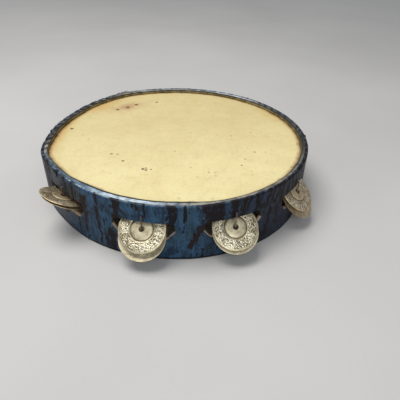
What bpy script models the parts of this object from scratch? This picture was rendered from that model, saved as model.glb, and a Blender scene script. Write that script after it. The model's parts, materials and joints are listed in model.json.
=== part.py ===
"""Tambourine: a bent wood shell, a clamped skin head and eight pairs of jingles on wire staples.

Metres, +Z up. The origin is on the shell's axis at its lower edge and the head faces +Z.
Azimuth runs counter-clockwise seen from above, from zero at -Y.
"""

import math

import bmesh
import bpy
from mathutils import Euler, Matrix, Vector

# Shell: a strip of wood bent into a ring, its outer end lapped over and standing proud.
SHELL_RADIUS = 0.127
SHELL_WALL = 0.0028
SHELL_HEIGHT = 0.0525
SHELL_TOP_ROUND = 0.0012
SHELL_EDGE_BREAK = 0.0005
RING_STEPS = 120
LAP_AZIMUTH = -151.0
LAP_LENGTH = 9.0
LAP_STEP = 0.0012
LAP_LIFT = 0.0014
LAP_END = 0.2

# Where the old ring has gone out of round: azimuth, how far out, and how wide in degrees.
BOWS = [
    (-71.0, 0.0038, 11.0),
    (-112.0, -0.0026, 17.0),
    (-150.0, 0.0016, 12.0),
]

# Slots for the jingles: long six-sided openings, nearly square above and sloped in below.
SLOT_TOP = 0.0365
SLOT_BOTTOM = 0.0215
SLOT_TIP_HEIGHT = 0.0288
SLOT_TOP_HALF = 0.0250
SLOT_TIP_HALF = 0.0256
SLOT_FLAT_HALF = 0.0196
CUTTER_REACH = 0.006

# Head and the two hoops that pinch it, all a hair apart.
GAP = 0.0003
HEAD_DEPTH = 0.0036
HEAD_THICKNESS = 0.0005
HEAD_PINCH = 0.0002
HEAD_FACE_MARGIN = 0.0005
HEAD_EASE = 0.0003
HOOP_INNER_RADIUS = 0.1208
HOOP_ROUND = 0.0009
HOOP_EDGE_BREAK = 0.0004
COUNTER_HOOP_DROP = 0.0002
HOOP_LAP_FROM = -38.0
HOOP_LAP_TO = 4.0
HOOP_LAP_EASE = 10.0
HOOP_LAP_STEP = 0.0026
FLESH_HOOP_INNER_RADIUS = 0.1186
FLESH_HOOP_HEIGHT = 0.0048

# Jingle: a thin disc with a flat raised boss, its origin at the middle of its hole.
JINGLE_RADIUS = 0.0191
JINGLE_THICKNESS = 0.0005
JINGLE_STEPS = 28
BOSS_RADIUS = 0.0082
BOSS_FOOT_RADIUS = 0.0094
BOSS_FOOT_DROP = 0.0007
RIM_DROP = 0.0011
HOLE_RADIUS = 0.0020

# Staple: one wire down the outside of the shell, its ends bent over inside.
WIRE_RADIUS = 0.0006
WIRE_SIDES = 6
WIRE_STANDOFF = 0.0016
WIRE_BEND = 0.0011
WIRE_TOP = 0.0420
WIRE_BOTTOM = 0.0165
WIRE_TAIL = 0.0060
WIRE_HOLE_RADIUS = 0.0011
WIRE_HOLE_SIDES = 8

# Tacks through the shell into the counter hoop, above and between the slots.
TACK_AZIMUTHS = [-53.5, 88.0, 139.2, 174.1, 213.5, 268.0]
TACK_HEIGHT = 0.0503
TACK_HEAD_RADIUS = 0.0021
TACK_HEAD_RISE = 0.0010
TACK_HEAD_STEPS = 12
TACK_SHANK_HALF = 0.0005
TACK_REACH = 0.0020

# Two groups of four pairs, with a plain stretch for the hand at each side.
# One line per pair: azimuth, height of the upper hole, height of the lower hole,
# tilt with the outer edge down, and roll about the radius, all in degrees and metres.
STATIONS = [
    (-49.5, 0.0338, 0.0284, -28.0, 0.0),
    (-13.0, 0.0308, 0.0220, 40.0, -1.0),
    (20.4, 0.0284, 0.0242, 39.0, 6.5),
    (55.3, 0.0306, 0.0222, 40.0, 0.0),
    (121.8, 0.0292, 0.0236, 36.0, -3.0),
    (156.7, 0.0304, 0.0224, 40.0, 2.0),
    (191.5, 0.0290, 0.0226, 38.0, -1.5),
    (226.5, 0.0300, 0.0222, 38.0, 2.5),
]

SMOOTH_LIMIT = math.radians(32.0)
HALF_TURN = math.pi


def clear_scene():
    """Remove everything the scene starts with."""
    for item in list(bpy.data.objects):
        bpy.data.objects.remove(item, do_unlink=True)


def paint(name, color, roughness, metallic=0.0):
    """A Principled material of one colour."""
    material = bpy.data.materials.new(name)
    material.use_nodes = True
    shader = material.node_tree.nodes["Principled BSDF"]
    shader.inputs["Base Color"].default_value = (*color, 1.0)
    shader.inputs["Roughness"].default_value = roughness
    shader.inputs["Metallic"].default_value = metallic
    material.diffuse_color = (*color, 1.0)
    return material


def radial(azimuth):
    """Unit vector pointing away from the axis at an azimuth in degrees."""
    turn = math.radians(azimuth)
    return Vector((math.sin(turn), -math.cos(turn), 0.0))


def tangent(azimuth):
    """Unit vector along growing azimuth."""
    turn = math.radians(azimuth)
    return Vector((math.cos(turn), math.sin(turn), 0.0))


def bow(azimuth):
    """How far the ring stands outside its true circle at an azimuth."""
    total = 0.0
    for centre, rise, width in BOWS:
        apart = (azimuth - centre + 180.0) % 360.0 - 180.0
        total += rise * math.exp(-((apart / width) ** 2))
    return total


def on_ring(azimuth, radius, height):
    """A point at a radius of the ring before it bowed, and at a height."""
    return radial(azimuth) * (radius + bow(azimuth)) + Vector((0, 0, height))


def mesh_object(name, points, faces, material):
    """An object whose faces all point out of its closed body."""
    mesh = bpy.data.meshes.new(name)
    mesh.from_pydata([tuple(point) for point in points], [], faces)
    mesh.update()
    tidy_mesh(mesh)
    mesh.materials.append(material)
    item = bpy.data.objects.new(name, mesh)
    bpy.context.scene.collection.objects.link(item)
    return item


def tidy_mesh(mesh):
    """Point the faces out, then shade smooth with the real corners kept sharp."""
    shape = bmesh.new()
    shape.from_mesh(mesh)
    bmesh.ops.recalc_face_normals(shape, faces=shape.faces)
    shape.to_mesh(mesh)
    shape.free()
    mesh.shade_smooth()
    mesh.set_sharp_from_angle(angle=SMOOTH_LIMIT)


def sweep_sections(sections):
    """Points and faces of a closed ring of equal sections, each joined to the next."""
    size = len(sections[0])
    count = len(sections)
    points = [point for section in sections for point in section]
    faces = []
    for index in range(count):
        following = (index + 1) % count
        for corner in range(size):
            next_corner = (corner + 1) % size
            faces.append(
                (
                    index * size + corner,
                    following * size + corner,
                    following * size + next_corner,
                    index * size + next_corner,
                )
            )
    return points, faces


def hoop(name, profile_at, material):
    """A closed profile of radius and height, given for each azimuth, round the bowed ring."""
    sections = []
    for index in range(RING_STEPS):
        azimuth = index * 360.0 / RING_STEPS
        sections.append([on_ring(azimuth, radius, height) for radius, height in profile_at(azimuth)])
    points, faces = sweep_sections(sections)
    return mesh_object(name, points, faces, material)


def hoop_inner(azimuth):
    """Inner radius of the counter hoop, which is doubled where its ends lap."""
    middle = (HOOP_LAP_FROM + HOOP_LAP_TO) / 2.0
    half = (HOOP_LAP_TO - HOOP_LAP_FROM) / 2.0
    apart = abs((azimuth - middle + 180.0) % 360.0 - 180.0)
    share = min(1.0, max(0.0, 1.0 - (apart - half) / HOOP_LAP_EASE))
    return HOOP_INNER_RADIUS - HOOP_LAP_STEP * share


def lap_share(azimuth):
    """One at the lap's cut end, falling to nothing along its taper and elsewhere."""
    past_end = (azimuth - LAP_AZIMUTH) % 360.0
    return max(0.0, 1.0 - past_end / LAP_LENGTH)


def shell_profile(share):
    """Section of the shell wall, its outer face and top moved by a share of the lap."""
    inner = SHELL_RADIUS - SHELL_WALL
    outer = SHELL_RADIUS + LAP_STEP * share
    top = SHELL_HEIGHT + LAP_LIFT * share
    soft = SHELL_TOP_ROUND
    knee = soft * (1.0 - math.sqrt(0.5))
    edge = SHELL_EDGE_BREAK
    return [
        (inner, edge),
        (inner + edge, 0.0),
        (outer - edge, 0.0),
        (outer, edge),
        (outer, top - soft),
        (outer - knee, top - knee),
        (outer - soft, top),
        (inner, top),
    ]


def prism(outline, azimuth, inner, outer):
    """Points and faces of a bar along the radius; the outline is tangential and height."""
    along = tangent(azimuth)
    out = radial(azimuth)
    points = []
    for reach in (inner, outer):
        for side, height in outline:
            points.append(out * reach + along * side + Vector((0, 0, height)))
    count = len(outline)
    faces = [tuple(range(count)), tuple(range(count, 2 * count))[::-1]]
    for corner in range(count):
        following = (corner + 1) % count
        faces.append((corner, corner + count, following + count, following))
    return points, faces


def slot_outline():
    """Six corners of a slot."""
    return [
        (-SLOT_TIP_HALF, SLOT_TIP_HEIGHT),
        (-SLOT_FLAT_HALF, SLOT_BOTTOM),
        (SLOT_FLAT_HALF, SLOT_BOTTOM),
        (SLOT_TIP_HALF, SLOT_TIP_HEIGHT),
        (SLOT_TOP_HALF, SLOT_TOP),
        (-SLOT_TOP_HALF, SLOT_TOP),
    ]


def round_outline(height):
    """Corners of a staple hole at a height."""
    corners = []
    for index in range(WIRE_HOLE_SIDES):
        turn = 2.0 * math.pi * (index + 0.5) / WIRE_HOLE_SIDES
        side = WIRE_HOLE_RADIUS * math.cos(turn)
        corners.append((side, height + WIRE_HOLE_RADIUS * math.sin(turn)))
    return corners


def square_outline(half, height):
    """Corners of a square centred at a height."""
    return [
        (-half, height - half),
        (half, height - half),
        (half, height + half),
        (-half, height + half),
    ]


def cut(item, bars):
    """Cut the given bars out of an object and keep the result as its mesh."""
    points = []
    faces = []
    for bar_points, bar_faces in bars:
        start = len(points)
        points.extend(bar_points)
        faces.extend([tuple(start + corner for corner in face) for face in bar_faces])
    cutter = mesh_object(item.name + "_cutter", points, faces, item.data.materials[0])
    modifier = item.modifiers.new("cut", "BOOLEAN")
    modifier.operation = "DIFFERENCE"
    modifier.solver = "EXACT"
    modifier.object = cutter
    bpy.context.view_layer.update()
    graph = bpy.context.evaluated_depsgraph_get()
    result = bpy.data.meshes.new_from_object(item.evaluated_get(graph))
    item.modifiers.clear()
    item.data = result
    bpy.data.objects.remove(cutter, do_unlink=True)
    tidy_mesh(result)


def make_shell(material):
    """The bent wood shell with its slots, staple holes and tack holes."""
    azimuths = [index * 360.0 / RING_STEPS for index in range(RING_STEPS)]
    lap = LAP_AZIMUTH % 360.0
    azimuths.extend([lap - LAP_END, lap])
    sections = []
    for azimuth in sorted(azimuths):
        profile = shell_profile(lap_share(azimuth))
        sections.append([on_ring(azimuth, radius, height) for radius, height in profile])
    points, faces = sweep_sections(sections)
    shell = mesh_object("shell", points, faces, material)
    inner = SHELL_RADIUS - SHELL_WALL - CUTTER_REACH
    outer = SHELL_RADIUS + CUTTER_REACH
    bars = []
    for azimuth, *_ in STATIONS:
        bars.append(prism(slot_outline(), azimuth, inner, outer))
        bars.append(prism(round_outline(WIRE_TOP), azimuth, inner, outer))
        bars.append(prism(round_outline(WIRE_BOTTOM), azimuth, inner, outer))
    for azimuth in TACK_AZIMUTHS:
        outline = square_outline(TACK_SHANK_HALF + GAP, TACK_HEIGHT)
        bars.append(prism(outline, azimuth, inner, outer))
    cut(shell, bars)
    return shell


def counter_hoop_profile(azimuth):
    """Section of the counter hoop."""
    inner = hoop_inner(azimuth)
    outer = SHELL_RADIUS - SHELL_WALL - GAP
    top = SHELL_HEIGHT - COUNTER_HOOP_DROP
    bottom = SHELL_HEIGHT - HEAD_DEPTH - HEAD_PINCH + GAP
    soft = HOOP_ROUND
    knee = soft * (1.0 - math.sqrt(0.5))
    return [
        (inner, bottom),
        (outer, bottom),
        (outer, top),
        (inner + soft, top),
        (inner + knee, top - knee),
        (inner, top - soft),
    ]


def flesh_hoop_profile(_azimuth):
    """Section of the flesh hoop, the same all round."""
    inner = FLESH_HOOP_INNER_RADIUS
    outer = SHELL_RADIUS - SHELL_WALL - GAP
    top = SHELL_HEIGHT - HEAD_DEPTH - HEAD_THICKNESS - HEAD_PINCH - GAP
    bottom = top - FLESH_HOOP_HEIGHT
    edge = HOOP_EDGE_BREAK
    return [
        (inner, bottom + edge),
        (inner + edge, bottom),
        (outer, bottom),
        (outer, top),
        (inner + edge, top),
        (inner, top - edge),
    ]


def make_counter_hoop(material):
    """The painted hoop on the skin, just inside the shell's rim, bored for the tacks' points."""
    counter_hoop = hoop("counter_hoop", counter_hoop_profile, material)
    outer = SHELL_RADIUS - SHELL_WALL - GAP
    bars = []
    for azimuth in TACK_AZIMUTHS:
        outline = square_outline(TACK_SHANK_HALF + GAP, TACK_HEIGHT)
        deepest = outer - TACK_REACH - GAP + bow(azimuth)
        bars.append(prism(outline, azimuth, deepest, SHELL_RADIUS + bow(azimuth)))
    cut(counter_hoop, bars)
    return counter_hoop


def make_flesh_hoop(material):
    """The hoop under the skin."""
    return hoop("flesh_hoop", flesh_hoop_profile, material)


def head_profile(azimuth):
    """Section of the skin from the middle of its underside round its edge to its face."""
    edge = SHELL_RADIUS - SHELL_WALL - GAP
    flat = hoop_inner(azimuth) - HEAD_FACE_MARGIN
    pinched = flat + HEAD_EASE
    top = SHELL_HEIGHT - HEAD_DEPTH
    bottom = top - HEAD_THICKNESS
    return [
        (flat, bottom),
        (pinched, bottom - HEAD_PINCH),
        (edge, bottom - HEAD_PINCH),
        (edge, top - HEAD_PINCH),
        (pinched, top - HEAD_PINCH),
        (flat, top),
    ]


def make_head(material):
    """The skin: a thin disc, its edge pinched down a little between the hoops."""
    points = []
    for index in range(RING_STEPS):
        azimuth = index * 360.0 / RING_STEPS
        points.extend([on_ring(azimuth, *place) for place in head_profile(azimuth)])
    size = len(points) // RING_STEPS
    faces = [tuple(range(0, len(points), size))[::-1]]
    faces.append(tuple(range(size - 1, len(points), size)))
    for index in range(RING_STEPS):
        here = index * size
        ahead = (index + 1) % RING_STEPS * size
        for level in range(size - 1):
            faces.append((here + level, ahead + level, ahead + level + 1, here + level + 1))
    return mesh_object("head", points, faces, material)


def jingle_profile():
    """Section of a jingle, its hole's middle at height zero and its rim lower."""
    half = JINGLE_THICKNESS / 2.0
    line = [
        (HOLE_RADIUS, 0.0),
        (BOSS_RADIUS, 0.0),
        (BOSS_FOOT_RADIUS, -BOSS_FOOT_DROP),
        (JINGLE_RADIUS, -RIM_DROP),
    ]
    lower = [(radius, height - half) for radius, height in line]
    upper = [(radius, height + half) for radius, height in line]
    return lower + upper[::-1]


def first_jingle(name, material):
    """The jingle that the others copy, its profile turned about Z."""
    sections = []
    for index in range(JINGLE_STEPS):
        out = radial(index * 360.0 / JINGLE_STEPS)
        sections.append([out * radius + Vector((0, 0, high)) for radius, high in jingle_profile()])
    points, faces = sweep_sections(sections)
    return mesh_object(name, points, faces, material)


def make_jingle(name, mesh_source, azimuth, height, tilt, roll, material):
    """A jingle threaded on its wire; the hinge axis runs along the tangent through its hole."""
    if mesh_source is None:
        item = first_jingle(name, material)
    else:
        item = bpy.data.objects.new(name, mesh_source)
        bpy.context.scene.collection.objects.link(item)
    item.location = on_ring(azimuth, SHELL_RADIUS + WIRE_STANDOFF, height)
    facing = math.radians(azimuth - 90.0)
    item.rotation_euler = Euler((roll, math.radians(tilt), facing))
    return item


def make_jingles(material):
    """Two jingles on every wire, bosses outward, so their rims face each other."""
    mesh = None
    for number, (azimuth, upper, lower, tilt, roll) in enumerate(STATIONS, 1):
        lean = math.radians(roll)
        name = f"jingle_{number:02d}"
        item = make_jingle(name + "_upper", mesh, azimuth, upper, tilt, lean, material)
        mesh = item.data
        make_jingle(name + "_lower", mesh, azimuth, lower, tilt, lean + HALF_TURN, material)


def rounded_path(corners, bend):
    """The corners as a path with two short cuts round every inner corner."""
    path = [corners[0]]
    for before, here, after in zip(corners, corners[1:], corners[2:]):
        back = (before - here).normalized() * bend
        ahead = (after - here).normalized() * bend
        path.append(here + back)
        path.append(here + (back + ahead) * (1.0 - math.sqrt(0.5)))
        path.append(here + ahead)
    path.append(corners[-1])
    return path


def tube(name, path, radius, sides, material):
    """A round bar along a path, closed at both ends."""
    directions = [(after - before).normalized() for before, after in zip(path, path[1:])]
    across = directions[0].orthogonal().normalized()
    points = []
    for index, place in enumerate(path):
        before = directions[max(index - 1, 0)]
        after = directions[min(index, len(directions) - 1)]
        along = (before + after).normalized()
        across = (across - along * across.dot(along)).normalized()
        other = along.cross(across)
        for side in range(sides):
            turn = 2.0 * math.pi * side / sides
            points.append(place + (across * math.cos(turn) + other * math.sin(turn)) * radius)
    faces = [tuple(range(sides))[::-1]]
    for index in range(len(path) - 1):
        start = index * sides
        for side in range(sides):
            following = (side + 1) % sides
            faces.append(
                (
                    start + side,
                    start + following,
                    start + sides + following,
                    start + sides + side,
                )
            )
    last = (len(path) - 1) * sides
    faces.append(tuple(range(last, last + sides)))
    return mesh_object(name, points, faces, material)


def make_staple(name, azimuth, material):
    """The wire a pair of jingles hangs on, its ends turned along the inside of the wall."""
    outside = SHELL_RADIUS + WIRE_STANDOFF
    inside = SHELL_RADIUS - SHELL_WALL - GAP - WIRE_RADIUS
    tail = math.degrees(WIRE_TAIL / inside)
    corners = [
        on_ring(azimuth + tail, inside, WIRE_TOP),
        on_ring(azimuth, inside, WIRE_TOP),
        on_ring(azimuth, outside, WIRE_TOP),
        on_ring(azimuth, outside, WIRE_BOTTOM),
        on_ring(azimuth, inside, WIRE_BOTTOM),
        on_ring(azimuth - tail, inside, WIRE_BOTTOM),
    ]
    return tube(name, rounded_path(corners, WIRE_BEND), WIRE_RADIUS, WIRE_SIDES, material)


def make_tack(name, azimuth, material):
    """A tack with a low round head on the shell and a square shank into the counter hoop."""
    seat = GAP
    half = TACK_SHANK_HALF * math.sqrt(2.0)
    rings = [
        (TACK_HEAD_RADIUS, seat),
        (TACK_HEAD_RADIUS * 0.9, seat + TACK_HEAD_RISE * 0.55),
        (TACK_HEAD_RADIUS * 0.5, seat + TACK_HEAD_RISE),
    ]
    steps = TACK_HEAD_STEPS
    points = []
    for radius, rise in rings:
        for index in range(steps):
            turn = 2.0 * math.pi * (index + 0.5) / steps
            points.append(Vector((radius * math.cos(turn), radius * math.sin(turn), rise)))
    faces = [tuple(range(2 * steps, 3 * steps))]
    for level in range(len(rings) - 1):
        for index in range(steps):
            following = (index + 1) % steps
            start = level * steps
            faces.append(
                (start + index, start + following, start + steps + following, start + steps + index)
            )
    neck = len(points)
    tip = -(SHELL_WALL + GAP + TACK_REACH)
    for rise in (seat, tip):
        for index in range(4):
            turn = 2.0 * math.pi * (index + 0.5) / 4.0
            points.append(Vector((half * math.cos(turn), half * math.sin(turn), rise)))
    quarter = steps // 4
    for side in range(4):
        following = (side + 1) % 4
        arc = [(side * quarter + quarter // 2 + step) % steps for step in range(quarter + 1)]
        faces.append((neck + following, neck + side, *arc))
        faces.append((neck + side, neck + following, neck + 4 + following, neck + 4 + side))
    faces.append((neck + 7, neck + 6, neck + 5, neck + 4))
    tack = mesh_object(name, points, faces, material)
    wall = SHELL_RADIUS + LAP_STEP * lap_share(azimuth)
    tack.location = on_ring(azimuth, wall, TACK_HEIGHT)
    sideways = tangent(azimuth)
    outward = radial(azimuth)
    upward = outward.cross(sideways)
    tack.rotation_euler = Matrix((sideways, upward, outward)).transposed().to_euler()
    return tack


def main():
    """Build every piece."""
    clear_scene()
    blue = paint("blue_paint", (0.055, 0.105, 0.200), 0.38)
    rim_blue = paint("worn_rim_paint", (0.230, 0.290, 0.360), 0.42)
    raw_wood = paint("raw_wood", (0.420, 0.280, 0.150), 0.75)
    skin = paint("skin", (0.800, 0.700, 0.420), 0.60)
    tinned = paint("tinned_metal", (0.640, 0.610, 0.520), 0.34, 1.0)
    wire = paint("wire", (0.420, 0.390, 0.330), 0.40, 1.0)
    iron = paint("tack_iron", (0.100, 0.085, 0.075), 0.45, 1.0)
    make_shell(blue)
    make_counter_hoop(rim_blue)
    make_head(skin)
    make_flesh_hoop(raw_wood)
    make_jingles(tinned)
    for number, (azimuth, *_) in enumerate(STATIONS, 1):
        make_staple(f"staple_{number:02d}", azimuth, wire)
    for number, azimuth in enumerate(TACK_AZIMUTHS, 1):
        make_tack(f"tack_{number:02d}", azimuth, iron)


main()
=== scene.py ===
"""The looks of the tambourine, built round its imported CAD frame.

Metres, +Z up. Azimuth runs counter-clockwise seen from above, in degrees, from zero at -Y.
"""

import json
import math
import random

import bmesh
import bpy
import numpy as np
from mathutils import Matrix, Vector


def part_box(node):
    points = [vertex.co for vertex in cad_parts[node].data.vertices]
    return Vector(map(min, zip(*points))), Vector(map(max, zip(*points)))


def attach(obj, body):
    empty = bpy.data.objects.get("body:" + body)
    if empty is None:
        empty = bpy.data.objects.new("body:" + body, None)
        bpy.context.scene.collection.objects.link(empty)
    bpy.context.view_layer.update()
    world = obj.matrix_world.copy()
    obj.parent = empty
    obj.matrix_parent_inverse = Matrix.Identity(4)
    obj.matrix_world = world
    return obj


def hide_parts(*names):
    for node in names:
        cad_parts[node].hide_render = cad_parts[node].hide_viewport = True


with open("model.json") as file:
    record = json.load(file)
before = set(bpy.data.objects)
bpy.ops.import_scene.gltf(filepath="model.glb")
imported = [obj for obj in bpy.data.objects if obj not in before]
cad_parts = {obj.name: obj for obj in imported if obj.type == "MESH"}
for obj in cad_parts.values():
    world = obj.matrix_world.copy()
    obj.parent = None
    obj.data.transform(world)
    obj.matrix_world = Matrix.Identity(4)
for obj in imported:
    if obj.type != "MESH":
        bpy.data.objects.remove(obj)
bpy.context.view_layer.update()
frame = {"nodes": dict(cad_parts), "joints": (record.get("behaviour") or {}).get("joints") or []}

# Camera.
CAMERA_PLACE = (0.0, -0.36592, 0.22829)
CAMERA_TURN = (54.783, -1.566, -2.569)
CAMERA_LENS = 36.0
CAMERA_SENSOR = 36.0

# Ring, the same as the CAD's.
SHELL_RADIUS = 0.127
SHELL_WALL = 0.0028
SHELL_HEIGHT = 0.0525
SHELL_TOP_ROUND = 0.0012
SHELL_EDGE_BREAK = 0.0005
LAP_AZIMUTH = -151.0
LAP_LENGTH = 9.0
LAP_STEP = 0.0012
LAP_LIFT = 0.0014

# Where the ring bows out or in: azimuth, how far, and half width in degrees.
BOWS = [(-71.0, 0.0038, 11.0), (-112.0, -0.0026, 17.0), (-150.0, 0.0016, 12.0)]

# Unevenness of the ring that the CAD leaves out.
LAP_SEAM_WIDTH = 0.06
LAP_SEAM_DEPTH = 0.0005
WOOD_RIPPLE = 0.00005
TOP_RIPPLE = 0.00008
NOTCHED_MIDDLE = -110.0
NOTCHED_HALF = 36.0
NOTCH_WAVES = 33
NOTCH_DEPTH = 0.00045

# Slots.
SLOT_TOP = 0.0365
SLOT_BOTTOM = 0.0215
SLOT_TIP_HEIGHT = 0.0288
SLOT_TOP_HALF = 0.0250
SLOT_TIP_HALF = 0.0256
SLOT_FLAT_HALF = 0.0196
SLOT_ROUND = 0.0012
SLOT_STEP = 0.0013
SLOT_BEVEL = 0.00028
SLOT_WOBBLE_IN = -0.00016
SLOT_WOBBLE_OUT = 0.0001
CUT_PAST_WALL = 0.0025
CUT_PAST_FACE = 0.0030

# Head and hoops.
HOOP_INNER = 0.1208
HOOP_OUTER = 0.12412
HOOP_TOP = 0.0523
HOOP_BOTTOM = 0.0490
HOOP_LAP_FROM = -38.0
HOOP_LAP_TO = 4.0
HOOP_LAP_EASE = 10.0
HOOP_LAP_STEP = 0.0026
SKIN_TOP = 0.0489
SKIN_THICKNESS = 0.0005
SKIN_PINCH = 0.0002
SKIN_RADIUS = 0.1238
FLESH_INNER = 0.1186
FLESH_TOP = 0.0479
FLESH_HEIGHT = 0.0048
SKIN_ROWS = 80
SKIN_WAVE = 0.00006
SKIN_PUCKER = 0.00008

# Staples and tacks.
WIRE_RADIUS = 0.0006
WIRE_STANDOFF = 0.0016
WIRE_TOP = 0.0420
WIRE_BOTTOM = 0.0165
WIRE_TAIL = 0.0060
WIRE_HOLE_RADIUS = 0.0011
WIRE_BEND = 0.0012
WIRE_SIDES = 16
TACK_AZIMUTHS = [-53.5, 88.0, 139.2, 174.1, 213.5, 268.0]
TACK_HEIGHT = 0.0503
TACK_HEAD_RADIUS = 0.0021
TACK_HEAD_RISE = 0.0010
TACK_SHANK = 0.0005
TACK_REACH = 0.0045
TACK_COLUMNS = 40
TACK_DIRT = 0.0046

# Jingles.
JINGLE_RADIUS = 0.0191
JINGLE_THICKNESS = 0.0005
HOLE_RADIUS = 0.0020
BOSS_RADIUS = 0.0082
STIPPLE_FROM = 0.0104
STIPPLE_TO = 0.0176
STIPPLE_PITCH = 0.00135
STIPPLE_HEIGHT = 0.00020
JINGLE_COLUMNS = 200
JINGLE_KINDS = 4
DULL_PAIRS = ("01", "04", "05", "08")

# Section of a jingle: radius and height of the middle of the sheet, in millimetres.
JINGLE_PROFILE = [
    (0.0, 0.12), (5.5, 0.08), (7.4, 0.0), (8.2, -0.14), (8.7, -0.50), (9.1, -0.78), (9.6, -0.84),
    (10.4, -0.72), (11.8, -0.52), (14.4, -0.50), (16.4, -0.66), (17.5, -0.82), (18.0, -0.80),
    (18.6, -0.90), (19.1, -1.10),
]

# Points round the rings and the skin, and the sharpest edge that is shaded smooth.
RING_COLUMNS = 1440
HOOP_COLUMNS = 720
SKIN_COLUMNS = 300
SMOOTH_LIMIT = math.radians(35.0)

# Dark streaks down the paint: azimuth at the top and at the foot, half widths there,
# lowest and highest point in millimetres, darkness, and how brown.
STREAKS = [
    (-36.6, -37.4, 1.7, 0.7, 9, 48, 1.0, 1.0),
    (-39.4, -39.0, 0.9, 0.6, 14, 40, 0.8, 0.9),
    (-41.4, -41.2, 0.5, 0.4, -2, 46, 0.8, 0.4),
    (-33.6, -33.2, 0.5, 0.4, 30, 42, 0.7, 0.8),
    (-30.8, -30.4, 0.9, 0.4, 2, 54, 1.0, 0.6),
    (-28.4, -28.2, 0.3, 0.3, 8, 44, 0.7, 0.2),
    (-20.2, -20.0, 0.4, 0.3, -2, 18, 0.8, 0.2),
    (-5.4, -5.6, 0.4, 0.3, 34, 50, 0.6, 0.2),
    (8.6, 8.4, 0.5, 0.4, -2, 12, 0.8, 0.4),
    (-22.6, -23.2, 2.1, 1.3, 33, 56, 1.0, 0.5),
    (-25.4, -25.2, 1.6, 2.4, -2, 24, 0.9, 0.3),
    (-15.2, -14.8, 0.5, 0.4, 41, 56, 0.9, 0.4),
    (-12.2, -12.0, 0.5, 0.4, 41, 56, 0.9, 0.4),
    (-2.6, -2.8, 1.8, 1.5, 36, 56, 1.0, 0.3),
    (2.2, 2.0, 0.7, 0.5, 38, 56, 1.0, 0.2),
    (8.8, 3.4, 2.0, 1.0, 10, 35, 0.95, 0.75),
    (11.6, 12.2, 3.8, 3.0, 34, 56, 1.0, 0.4),
    (14.9, 14.6, 1.2, 1.0, 37, 56, 1.0, 0.3),
    (20.3, 20.0, 1.3, 1.0, 36, 56, 1.0, 0.3),
    (24.3, 23.6, 1.5, 1.2, 36, 56, 0.9, 0.6),
    (29.0, 31.5, 1.2, 1.0, 36, 56, 0.8, 0.2),
    (36.6, 34.6, 1.3, 1.2, 6, 34, 0.9, 0.2),
    (43.6, 40.0, 1.6, 1.2, 14, 54, 0.8, 0.5),
    (31.8, 30.8, 0.8, 0.7, -2, 18, 0.8, 0.1),
    (-60.5, -58.0, 1.0, 0.8, 10, 56, 0.7, 0.2),
    (-48.5, -46.0, 1.2, 1.0, 30, 56, 0.8, 0.6),
    (-43.5, -42.6, 0.9, 0.7, 24, 56, 0.7, 0.5),
]

# How far the blue turns to its darkest tone, by azimuth: partly paint that has darkened and partly
# painted shade on the right side, away from the lights.
NAVY_AND_SHADE = [
    (-60, 0.62), (-50, 0.55), (-42, 0.25), (-36, 0.0), (5, 0.05), (10, 0.35), (22, 0.6), (34, 0.88),
    (60, 0.95), (100, 0.5), (130, 0.3), (220, 0.25), (255, 0.4), (285, 0.5),
]

# How pale the shell's top edge is painted, by azimuth: partly wear and partly a painted highlight.
EDGE_WEAR_AND_HIGHLIGHT = [
    (-153, 0.3), (-151.5, 1.0), (-141, 1.0), (-132, 0.3), (-78, 0.35), (-70, 0.25), (-50, 0.35),
    (-42, 0.9), (-28, 1.0), (-22, 0.5), (-6, 0.35), (20, 0.2), (60, 0.15), (130, 0.3), (138, 1.0),
    (158, 1.0), (170, 0.8), (200, 0.7),
]

# Colour of the hoop's paint, by azimuth, with its wear and with painted highlights at the front left
# and at the back.
HOOP_TONES_AND_HIGHLIGHTS = [
    (-180, (0.34, 0.345, 0.33)), (-158, (0.30, 0.31, 0.31)), (-146, (0.20, 0.20, 0.19)),
    (-120, (0.11, 0.12, 0.13)), (-86, (0.12, 0.125, 0.135)), (-75, (0.34, 0.325, 0.285)),
    (-67, (0.10, 0.125, 0.15)), (-48, (0.085, 0.125, 0.16)), (-38, (0.15, 0.22, 0.29)),
    (-30, (0.30, 0.40, 0.49)), (-24, (0.50, 0.60, 0.68)), (-10, (0.44, 0.51, 0.58)),
    (-3, (0.26, 0.29, 0.32)), (6, (0.27, 0.26, 0.22)), (30, (0.22, 0.21, 0.175)),
    (58, (0.15, 0.15, 0.125)), (80, (0.05, 0.06, 0.055)), (110, (0.06, 0.07, 0.08)),
    (128, (0.12, 0.135, 0.15)), (138, (0.46, 0.50, 0.54)), (156, (0.48, 0.52, 0.55)),
    (164, (0.28, 0.29, 0.30)), (172, (0.30, 0.31, 0.31)),
]

# How wide the dark line at the hoop's inner edge is, in millimetres, by azimuth.
HOOP_DARK_LINE = [
    (-150, 0.5), (-90, 0.6), (-60, 1.1), (-48, 1.2), (-38, 2.7), (4, 2.7), (14, 1.2), (60, 1.3),
    (100, 1.2), (140, 0.6), (200, 0.5),
]

# How strongly the streaks of the shell cross the hoop, by azimuth.
HOOP_STAIN = [
    (-150, 0.9), (-80, 0.9), (-64, 0.5), (-50, 0.1), (6, 0.1), (20, 0.25), (60, 0.3), (90, 0.8),
    (128, 0.8), (138, 0.2), (190, 0.3),
]

# Dark specks in the skin: x, y and radius in millimetres.
SPECKS = [
    (-109, 14.6, 2.0), (-68.6, 65, 2.2), (-58, 72, 2.3), (-49, 80, 2.2), (-26, 88, 1.6),
    (74, 8, 0.9), (-62, -38, 1.3), (-56, -39, 0.9), (-50, -51, 1.1), (-31.2, -65.2, 1.5),
    (-28.4, -67.0, 1.4), (-28.6, -63.8, 1.1), (-24, -66, 0.9), (25.5, -71, 0.9), (56, -59, 1.0),
    (60.5, -48, 0.8), (71.5, -34, 1.0),
]
FAINT_SPECKS = [
    (12, 7, 1.0), (-3.5, -33, 1.1), (66, -26, 0.9), (82, -34, 0.9), (-88, -8, 0.8), (38, 52, 0.8),
]

# How far the specks' edges wander.
SPECK_SWAY = 0.0022

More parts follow.
